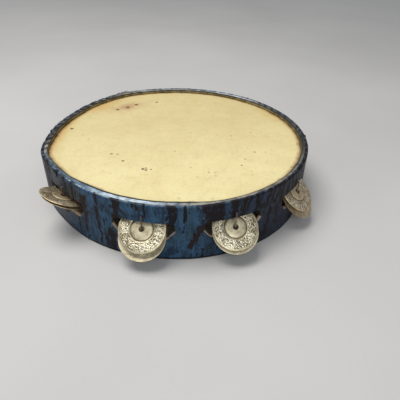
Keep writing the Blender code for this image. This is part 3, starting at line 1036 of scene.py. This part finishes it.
def all_streaks():
    """The streaks that are known, and more of the same round the rest of the shell."""
    streaks = list(STREAKS)
    draw = random.Random(29)
    azimuth = 25.0
    while azimuth < 72.0:
        foot = azimuth - draw.uniform(1.5, 4.0)
        low = draw.choice([-2, -2, 24, 36])
        wide = draw.uniform(0.4, 1.0)
        streaks.append((azimuth, foot, wide, wide * 0.8, low, 56, 1.0, draw.uniform(0.0, 0.4)))
        azimuth += draw.uniform(2.2, 3.4)
    azimuth = 50.0
    while azimuth < 301.0:
        slant = draw.uniform(-4.0, 1.5)
        wide = draw.uniform(0.5, 1.9)
        low = draw.choice([-2, -2, 12, 30, 37])
        if 238.0 < azimuth < 292.0:
            wide = draw.uniform(1.0, 1.7)
            low = draw.choice([-2, 20, 38, 44])
        foot = azimuth + slant * (54 - low) / 54.0
        narrow = wide * draw.uniform(0.5, 0.9)
        dark = draw.uniform(0.75, 1.0)
        streaks.append((azimuth, foot, wide, narrow, low, 56, dark, draw.uniform(0.0, 0.8)))
        azimuth += draw.uniform(3.6, 6.4)
    return streaks


def streak_marks(azimuth, height):
    """How stained the paint is, and how brown the stain, at points of the shell."""
    stain = np.zeros(len(azimuth))
    brown = np.zeros(len(azimuth))
    level = height / MM
    wander = ripple(azimuth, height * 2.0, 0.16, 41, 90)
    for top, foot, wide, narrow, low, high, dark, brownness in all_streaks():
        share = np.clip((level - low) / (high - low), 0.0, 1.0)
        centre = foot + (top - foot) * share
        half = narrow + (wide - narrow) * share
        apart = np.abs(apart_from(azimuth + wander, centre)) / half
        value = dark * (1.15 - 0.5 * smooth(apart, 0.0, 1.0)) * smooth(2.0 - apart, 0.0, 1.4)
        value = value * smooth(level, low - 2.0, low + 3.0) * smooth(-level, -high - 2.0, 3.0 - high)
        brown = np.where(value > stain, brownness, brown)
        stain = np.maximum(stain, value)
    for tack in TACK_AZIMUTHS:
        along = np.radians(apart_from(azimuth, tack)) * SHELL_RADIUS
        apart = np.hypot(along + 0.0008, (height - TACK_HEIGHT) * 1.2)
        stain = np.maximum(stain, 1.1 * smooth(-apart, -TACK_DIRT, -TACK_DIRT * 0.65))
    burnt = notches(azimuth - (SHELL_HEIGHT - height) / MM * 0.25)
    stain = np.maximum(stain, burnt * smooth(height, SHELL_HEIGHT - 0.008, SHELL_HEIGHT - 0.003))
    rubbed = smooth(lap_share(azimuth), 0.0, 0.1) * smooth(height, SHELL_HEIGHT - 0.002, SHELL_HEIGHT)
    return stain * (1.0 - rubbed), brown


def make_shell(materials):
    """The bent wood shell: painted outside and on its edges, bare inside and in its cuts."""
    section, slots = shell_section()
    azimuths = shell_azimuths()
    points = shell_points(azimuths, section)
    faces = quads(len(azimuths), len(section), closed=True)
    paint, bare, cut_wood = materials
    mesh = make_mesh("wood_shell", points, faces, [paint, bare], slots * len(azimuths))
    shell = put_in_scene("wood_shell", mesh)
    cut_shell(shell, cut_wood)
    mesh = shell.data
    azimuth, radius, height = ring_place(vertex_points(mesh))
    past_lap = np.radians((azimuth - LAP_AZIMUTH) % 360.0)
    depth = SHELL_RADIUS + LAP_STEP * lap_share(azimuth) - radius
    set_vectors(mesh, "place", past_lap * SHELL_RADIUS, height, depth)
    stain, brown = streak_marks(azimuth, height)
    # Darker blue by azimuth: partly darkened paint, partly painted shade.
    navy_and_shade = by_azimuth(NAVY_AND_SHADE, azimuth)[:, 0]
    set_vectors(mesh, "marks", stain, navy_and_shade, brown)
    bloom = bell(azimuth, -54.0, 8.0) * 0.8
    set_vectors(mesh, "edge", by_azimuth(EDGE_WEAR_AND_HIGHLIGHT, azimuth)[:, 0], bloom, 0.0)
    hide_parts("shell")
    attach(shell, "frame")


# ---------------- hoops and head


def make_hoop(name, node, section, inner_at, material, roughness):
    """A hoop whose section runs from zero at its inner face to one at its outer face."""
    section = np.array(section)
    azimuth = np.arange(HOOP_COLUMNS)[:, None] * 360.0 / HOOP_COLUMNS
    inner = inner_at(azimuth)
    radius = inner + (HOOP_OUTER - inner) * section[None, :, 0]
    radius = radius + ripple(azimuth, 0.0, 0.00007, 3, 24)
    middle = section[:, 1].mean()
    above = section[None, :, 1] > middle
    side = np.where(above, 1.0, -1.0)
    height = section[None, :, 1] + side * ripple(azimuth, radius * 9.0, roughness, 17, 90)
    height = height + above * (0.2 - notches(azimuth)) * NOTCH_DEPTH * notched_share(azimuth)
    points = on_ring(azimuth, radius, height)
    mesh = make_mesh(name, points, quads(HOOP_COLUMNS, len(section), closed=True), [material])
    azimuth, radius, height = ring_place(vertex_points(mesh))
    past_lap = np.radians((azimuth - LAP_AZIMUTH) % 360.0)
    depth = radius - inner_at(azimuth)
    set_vectors(mesh, "place", past_lap * radius, height, depth)
    set_vectors(mesh, "tone", *by_azimuth(HOOP_TONES_AND_HIGHLIGHTS, azimuth).T)
    slanted = azimuth + (SHELL_RADIUS - radius) / MM * 0.3
    stain, brown = streak_marks(slanted, SHELL_HEIGHT)
    inward = depth / (by_azimuth(HOOP_DARK_LINE, azimuth)[:, 0] * MM)
    set_vectors(mesh, "marks", stain * by_azimuth(HOOP_STAIN, azimuth)[:, 0], inward, brown)
    hoop = put_in_scene(name, mesh)
    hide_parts(node)
    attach(hoop, "frame")


def even_rows(start, end, steps):
    """Points between two points of a section, without the ends."""
    return [tuple(row) for row in np.linspace(start, end, steps + 1)[1:-1]]


def hoop_section(bottom, top, above, below, width):
    """Section of a hoop, its inner edges rounded, from zero at its inner face to one outside."""
    edge = 0.0003
    section = arc((below, bottom + below), below, 180, 270, 4)
    section += arc((width - edge, bottom + edge), edge, 270, 360, 2)
    section += arc((width - edge, top - edge), edge, 0, 90, 3)
    section += even_rows((width - edge, top), (above, top), 6)
    section += arc((above, top - above), above, 90, 180, 7)
    section += even_rows((0.0, top - above), (0.0, bottom + below), 4)
    return [(radius / width, height) for radius, height in section]


def skin_lift(azimuth, radius, inner):
    """How far the stretched skin waves up and down."""
    x, y = plan(azimuth, radius)
    draw = random.Random(53)
    total = 0.0
    for _ in range(10):
        turn = draw.uniform(0.0, math.pi)
        waves = draw.uniform(25.0, 120.0)
        along = math.cos(turn) * x + math.sin(turn) * y
        total = total + np.sin(along * waves + draw.uniform(0.0, 6.3)) / (1.0 + waves / 60.0)
    held = 1.0 - smooth(radius, inner - 0.010, inner - 0.001)
    puckers = ripple(azimuth, 0.0, SKIN_PUCKER, 59, 60)
    puckers = puckers * smooth(radius, inner - 0.032, inner - 0.008)
    puckers = puckers * (1.0 - smooth(radius, inner - 0.003, inner))
    return total * SKIN_WAVE * held + puckers


def skin_rows():
    """Rows of the skin from its middle out, each a radius and a height at every azimuth."""
    azimuth = np.arange(SKIN_COLUMNS) * 360.0 / SKIN_COLUMNS
    inner = hoop_inner(azimuth)
    flat = inner - 0.0006
    rows = [flat * share for share in np.linspace(0.012, 1.0, SKIN_ROWS)]
    rows += [inner, np.full(SKIN_COLUMNS, SKIN_RADIUS)]
    return [
        (radius, skin_lift(azimuth, radius, inner) - SKIN_PINCH * smooth(radius, flat, inner))
        for radius in rows
    ]


def make_head(material):
    """The skin, closed top and bottom, its edge pinched between the hoops."""
    azimuth = np.arange(SKIN_COLUMNS) * 360.0 / SKIN_COLUMNS
    upper = []
    for radius, lift in skin_rows():
        x, y = plan(azimuth, radius + bow(azimuth) * radius / SKIN_RADIUS)
        upper.append(np.stack([x, y, SKIN_TOP + lift], -1))
    down = np.array([0.0, 0.0, SKIN_THICKNESS])
    middle = np.array([[0.0, 0.0, SKIN_TOP]])
    rows = upper + [row - down for row in upper[::-1]]
    points = np.concatenate(rows + [middle, middle - down])
    total = len(rows) * SKIN_COLUMNS
    faces = quads(len(rows), SKIN_COLUMNS) + fan(total, 0, SKIN_COLUMNS)
    faces += fan(total + 1, total - SKIN_COLUMNS, SKIN_COLUMNS)
    mesh = make_mesh("parchment_head", points, faces, [material])
    mark_head(mesh)
    head = put_in_scene("parchment_head", mesh)
    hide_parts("head")
    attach(head, "frame")


def mark_head(mesh):
    """Where the skin is near its edge, its warm stains and warmer back, its pink stain, and painted
    shade that darkens it towards the back.
    """
    x, y, _ = vertex_points(mesh).T
    azimuth = np.degrees(np.arctan2(x, -y))
    edge = np.clip(hoop_inner(azimuth) + bow(azimuth) - np.hypot(x, y), -0.001, 1.0)
    near = smooth(-edge, -0.034, -0.004)
    left = bell(azimuth, -92.0, 26.0) * smooth(-edge, -0.017, -0.001) * 0.9
    back_left = bell(azimuth, -132.0, 20.0) * near * 0.8
    right = bell(azimuth, 118.0, 24.0) * near * 0.6
    back = smooth(y + x * 0.3, -0.09, 0.10) * 0.34
    warm = np.maximum(np.maximum(left, back_left), np.maximum(right, back))
    along = (x + 0.058) * 0.8 + (y - 0.073) * 0.6
    across = (y - 0.073) * 0.8 - (x + 0.058) * 0.6
    pink = bell(along, 0.0, 0.018) * bell(across, 0.0, 0.009) * 0.9
    set_vectors(mesh, "marks", edge, warm, pink)
    # Painted shade, growing towards the back of the skin.
    set_vectors(mesh, "back_shade", smooth(y - x * 0.4, -0.10, 0.07) * 0.24, 0.0, 0.0)


# ---------------- wires and tacks


def soft_path(corners, bend, steps):
    """The corners as a path with a smooth curve at every inner corner."""
    corners = [np.array(corner) for corner in corners]
    path = [corners[0]]
    for before, here, after in zip(corners, corners[1:], corners[2:]):
        back = (before - here) / np.linalg.norm(before - here) * bend
        ahead = (after - here) / np.linalg.norm(after - here) * bend
        for step in range(steps + 1):
            share = step / steps
            path.append(here + back * (1 - share) ** 2 + ahead * share**2)
    path.append(corners[-1])
    return np.array(path)


def tube(name, path, radius, sides, material):
    """A round bar along a path, with domed ends."""
    along = np.gradient(path, axis=0)
    along /= np.linalg.norm(along, axis=1)[:, None]
    across = np.cross(along[0], (0.31, 0.52, 0.79))
    turns = turns_round(sides)
    rings = []
    for index, place in enumerate(path):
        across = across - along[index] * (across @ along[index])
        across = across / np.linalg.norm(across)
        other = np.cross(along[index], across)
        circle = np.cos(turns)[:, None] * across + np.sin(turns)[:, None] * other
        rings.append(place + circle * radius)
        if index == 0:
            rings.insert(0, place - along[0] * radius * 0.5 + circle * radius * 0.6)
        if index == len(path) - 1:
            rings.append(place + along[-1] * radius * 0.5 + circle * radius * 0.6)
    last = (len(rings) - 1) * sides
    faces = [list(range(sides)), *quads(len(rings), sides), list(range(last, last + sides))[::-1]]
    return make_mesh(name, np.concatenate(rings), faces, [material])


def make_wire(number, azimuth, material):
    """The staple that a pair of jingles hangs on."""
    outside = SHELL_RADIUS + WIRE_STANDOFF
    inside = SHELL_RADIUS - SHELL_WALL - WIRE_RADIUS - 0.0001
    tail = math.degrees(WIRE_TAIL / inside)
    stops = [
        (azimuth + tail, inside, WIRE_TOP + 0.0004),
        (azimuth, inside, WIRE_TOP),
        (azimuth, outside, WIRE_TOP),
        (azimuth, outside, WIRE_BOTTOM),
        (azimuth, inside, WIRE_BOTTOM),
        (azimuth - tail, inside, WIRE_BOTTOM - 0.0005),
    ]
    corners = [on_ring(turn, radius, height) for turn, radius, height in stops]
    path = soft_path(corners, WIRE_BEND, 6)
    mesh = tube("wire_" + number, path, WIRE_RADIUS, WIRE_SIDES, material)
    wire = put_in_scene("wire_" + number, mesh)
    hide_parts("staple_" + number)
    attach(wire, "frame")


def make_tack(number, azimuth, mesh):
    """A tack with its head on the shell and its point in the hoop on the skin."""
    seat = SHELL_RADIUS + LAP_STEP * float(lap_share(azimuth)) + 0.00005
    turn = math.radians(azimuth)
    sideways = (math.cos(turn), math.sin(turn), 0.0)
    outward = (math.sin(turn), -math.cos(turn), 0.0)
    tack = put_in_scene("tack_pin_" + number, mesh)
    place = on_ring(azimuth, seat, TACK_HEIGHT)
    tack.matrix_world = pose(sideways, np.cross(outward, sideways), outward, place)
    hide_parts("tack_" + number)
    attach(tack, "frame")


def tack_mesh(material):
    """A hammered round head and a short tapering shank, along Z."""
    profile = [(TACK_SHANK, -TACK_REACH * 0.8), (TACK_SHANK, -0.0002), (TACK_SHANK * 1.3, 0.0)]
    for angle in np.radians(np.linspace(-20.0, 80.0, 9)):
        rise = TACK_HEAD_RISE * (0.25 + 0.75 * math.sin(angle))
        profile.append((TACK_HEAD_RADIUS * math.cos(angle), max(0.0, rise)))
    turns = turns_round(TACK_COLUMNS)
    wave = 1.0 + 0.03 * np.sin(3.0 * turns + 0.7) + 0.02 * np.sin(7.0 * turns)
    tilt = 1.0 + 0.05 * np.sin(2.0 * turns + 1.0)
    rings = []
    for radius, height in profile:
        reach = radius * wave
        rings.append(np.stack([reach * np.cos(turns), reach * np.sin(turns), height * tilt], -1))
    ends = np.array([[0.0, 0.0, -TACK_REACH], [0.0, 0.0, TACK_HEAD_RISE]])
    total = len(rings) * TACK_COLUMNS
    faces = quads(len(rings), TACK_COLUMNS) + fan(total, 0, TACK_COLUMNS)
    faces += fan(total + 1, total - TACK_COLUMNS, TACK_COLUMNS)
    mesh = make_mesh("tack_pin", np.concatenate(rings + [ends]), faces, [material])
    x, y, _ = vertex_points(mesh).T
    set_vectors(mesh, "marks", 1.0 - np.hypot(x, y) / TACK_HEAD_RADIUS, 0.0, 0.0)
    return mesh


# ---------------- jingles


def jingle_height(radius):
    """Height of the middle of the sheet by radius."""
    radii, heights = zip(*JINGLE_PROFILE)
    return np.interp(radius / MM, radii, heights) * MM


def in_ring(radius, outside, inside):
    """One in the stippled ring, fading over a distance outside and inside its edges."""
    past_start = smooth(radius, STIPPLE_FROM - outside, STIPPLE_FROM + inside)
    return past_start * smooth(-radius, -STIPPLE_TO - outside, -STIPPLE_TO + inside)


def stipple(x, y, seed):
    """Raised pellets of the stippled ring, from zero to one."""
    draw = random.Random(seed)
    centres = []
    reach = int(STIPPLE_TO / STIPPLE_PITCH) + 2
    for row in range(-reach, reach + 1):
        for column in range(-reach, reach + 1):
            cx = column + 0.5 * (row % 2) + draw.uniform(-0.33, 0.33)
            cy = row * 0.87 + draw.uniform(-0.33, 0.33)
            centres.append((cx * STIPPLE_PITCH, cy * STIPPLE_PITCH))
    centres = np.array(centres)
    apart = np.hypot(x[:, None] - centres[:, 0], y[:, None] - centres[:, 1]).min(1)
    pellet = 1.0 - smooth(apart, 0.0, STIPPLE_PITCH * 0.52)
    return in_ring(np.hypot(x, y), 0.0002, 0.0006) * pellet


def jingle_rows():
    """Rows of a jingle, from its hole out on top and back below: radius, and height in the sheet."""
    half = JINGLE_THICKNESS / 2.0
    hole = HOLE_RADIUS + 0.00012
    rim = JINGLE_RADIUS - 0.00005
    upper = [
        [hole],
        np.linspace(HOLE_RADIUS + 0.0004, 0.0074, 5),
        np.linspace(0.0078, 0.0103, 8),
        np.linspace(0.0106, 0.0166, 22),
        np.linspace(0.0170, JINGLE_RADIUS - 0.0002, 6),
    ]
    lower = [
        np.linspace(JINGLE_RADIUS - 0.0002, 0.0170, 4),
        np.linspace(0.0164, 0.0106, 10),
        np.linspace(0.0100, 0.0078, 5),
        [0.0060, hole],
    ]
    rows = [(radius, half) for radius in np.concatenate(upper)]
    rows += [(rim, half * 0.6), (JINGLE_RADIUS, 0.0), (rim, -half * 0.6)]
    rows += [(radius, -half) for radius in np.concatenate(lower)]
    rows += [(HOLE_RADIUS, -half * 0.6), (HOLE_RADIUS, half * 0.6)]
    return np.array(rows)


def jingle_mesh(name, material, seed, dark_centre):
    """One thin dished disc with a flat boss, a stippled ring and a plain rolled rim."""
    draw = random.Random(seed)
    rows = jingle_rows()
    turn = np.repeat(turns_round(JINGLE_COLUMNS), len(rows))
    radius, offset = np.tile(rows, (JINGLE_COLUMNS, 1)).T
    x = radius * np.cos(turn)
    y = radius * np.sin(turn)
    pellets = stipple(x, y, seed)
    share = radius / JINGLE_RADIUS
    bend = draw.uniform(0.00006, 0.00014) * np.sin(2.0 * turn + draw.uniform(0.0, 6.3))
    dent = draw.uniform(0.00004, 0.00008) * np.sin(5.0 * turn + draw.uniform(0.0, 6.3))
    z = jingle_height(radius) + offset + pellets * STIPPLE_HEIGHT + (bend + dent) * share**3
    uneven = 1.0 + 0.003 * np.sin(3.0 * turn + draw.uniform(0.0, 6.3)) * share**4
    points = np.stack([x * uneven, y * uneven, z], -1)
    mesh = make_mesh(name, points, quads(JINGLE_COLUMNS, len(rows), closed=True), [material])
    under = offset < 0.0
    # A painted shadow ring at the boss's foot; darker also round the hole and on the underside.
    shade_and_grime = np.maximum(bell(radius, 0.0092, 0.0007) * 0.85, bell(radius, 0.0098, 0.0016) * 0.36)
    shade_and_grime = np.maximum(shade_and_grime, smooth(-radius, -dark_centre - 0.0008, -dark_centre))
    shade_and_grime = np.maximum(shade_and_grime, np.where(under, 0.25, 0.0))
    ring = np.where(under, 0.0, in_ring(radius, 0.0004, 0.0004))
    set_vectors(mesh, "marks", shade_and_grime, pellets, ring)
    return mesh


def disc_pose(node):
    """Where a packed jingle is: its hole's middle, with Z the way that its boss faces."""
    points = vertex_points(frame["nodes"][node].data)
    points = np.unique(np.round(points, 7), axis=0)
    middle = points.mean(0)
    normal = np.linalg.svd(points - middle, full_matrices=False)[2][2]
    reach = np.linalg.norm(np.cross(points - middle, normal), axis=1)
    hole = points[reach < (HOLE_RADIUS + BOSS_RADIUS) / 2.0].mean(0)
    rim = points[reach > JINGLE_RADIUS * 0.95].mean(0)
    if normal @ (hole - rim) < 0.0:
        normal = -normal
    across = np.cross(normal, (0.0, 0.0, 1.0))
    across /= np.linalg.norm(across)
    return pose(across, np.cross(normal, across), normal, hole)


def make_jingles(bright, dull):
    """A disc for every packed jingle, in a few kinds turned different ways."""
    kinds = {}
    for kind in range(JINGLE_KINDS):
        dark_centre = HOLE_RADIUS if kind % 2 == 0 else BOSS_RADIUS * 0.6
        kinds[bright, kind] = jingle_mesh(f"bright_disc_{kind}", bright, 70 + kind, dark_centre)
        kinds[dull, kind] = jingle_mesh(f"dull_disc_{kind}", dull, 90 + kind, dark_centre)
    order = 0
    for number in stations():
        for which in ("upper", "lower"):
            node = f"jingle_{number}_{which}"
            material = dull if number in DULL_PAIRS else bright
            disc = put_in_scene(f"disc_{number}_{which}", kinds[material, order % JINGLE_KINDS])
            spin = Matrix.Rotation(math.radians(order * 67.0), 4, "Z")
            disc.matrix_world = disc_pose(node) @ spin
            order += 1
            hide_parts(node)
            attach(disc, node)


# ---------------- stage


def make_floor(material):
    """A wide round floor just under the part."""
    turns = turns_round(FLOOR_COLUMNS)
    circle = np.stack([np.cos(turns), np.sin(turns), 0.0 * turns], -1)
    rings = [circle * radius for radius in FLOOR_RADII]
    points = np.concatenate(rings + [np.zeros((1, 3))])
    faces = quads(len(rings), FLOOR_COLUMNS) + fan(len(points) - 1, 0, FLOOR_COLUMNS)
    mesh = bpy.data.meshes.new("pale_floor")
    mesh.from_pydata(points.tolist(), [], faces)
    mesh.materials.append(material)
    mesh.shade_smooth()
    floor = put_in_scene("pale_floor", mesh)
    floor.location.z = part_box("shell")[0].z - FLOOR_GAP


def make_light(name, place, power, colour):
    """A soft square light that points at the part."""
    data = bpy.data.lights.new(name, "AREA")
    data.size = LIGHT_SIZE
    data.energy = power
    data.color = colour
    light = put_in_scene(name, data)
    light.location = place
    direction = Vector(LIGHT_AIM) - light.location
    light.rotation_euler = direction.to_track_quat("-Z", "Y").to_euler()


def make_camera():
    """The camera."""
    data = bpy.data.cameras.new("camera")
    data.lens = CAMERA_LENS
    data.sensor_width = CAMERA_SENSOR
    data.clip_start = 0.01
    camera = put_in_scene("camera", data)
    camera.location = CAMERA_PLACE
    camera.rotation_euler = [math.radians(turn) for turn in CAMERA_TURN]
    bpy.context.scene.camera = camera


def make_world():
    """Even pale surroundings."""
    world = bpy.data.worlds.new("surroundings")
    world.use_nodes = True
    background = world.node_tree.nodes["Background"]
    background.inputs[0].default_value = (0.80, 0.83, 0.88, 1.0)
    background.inputs[1].default_value = 0.30
    bpy.context.scene.world = world


def make_stage():
    """Floor, lights and surroundings."""
    bpy.context.scene.view_settings.view_transform = "Standard"
    make_floor(pale_floor())
    make_world()
    make_light("key", (-0.36, 0.06, 1.25), 14.6, (1.0, 0.98, 0.95))
    make_light("fill", (0.20, -1.20, 0.75), 5.8, (0.97, 0.98, 1.0))


def main():
    """Build everything."""
    make_camera()
    paint = blue_paint()
    bare = wood("bare_wood", (0.46, 0.30, 0.155), (0.27, 0.155, 0.07), (0.10, 0.055, 0.03))
    # The slots' cut faces are painted in shade above the tips.
    cut_wood = wood(
        "cut_wood", (0.70, 0.58, 0.42), (0.48, 0.34, 0.21), (0.20, 0.12, 0.07), SLOT_TIP_HEIGHT
    )
    make_shell((paint, bare, cut_wood))
    rim = hoop_section(HOOP_BOTTOM, HOOP_TOP, 0.0009, 0.0003, HOOP_OUTER - HOOP_INNER)
    make_hoop("rim_hoop", "counter_hoop", rim, hoop_inner, hoop_paint(), 0.00007)
    flesh = hoop_section(FLESH_TOP - FLESH_HEIGHT, FLESH_TOP, 0.0007, 0.0007, HOOP_OUTER - FLESH_INNER)
    make_hoop("flesh_ring", "flesh_hoop", flesh, flesh_inner, bare, 0.00004)
    make_head(skin())
    wire = wire_metal()
    for number, azimuth in stations().items():
        make_wire(number, azimuth, wire)
    tack = tack_mesh(tack_metal())
    for index, azimuth in enumerate(TACK_AZIMUTHS, 1):
        make_tack(f"{index:02d}", azimuth, tack)
    bright = tin("bright_tin", (0.80, 0.72, 0.50), (0.52, 0.45, 0.29), (0.07, 0.055, 0.028), 0.15)
    dull = tin("dull_tin", (0.84, 0.69, 0.45), (0.52, 0.40, 0.235), (0.20, 0.145, 0.078), 0.25)
    make_jingles(bright, dull)
    make_stage()


main()
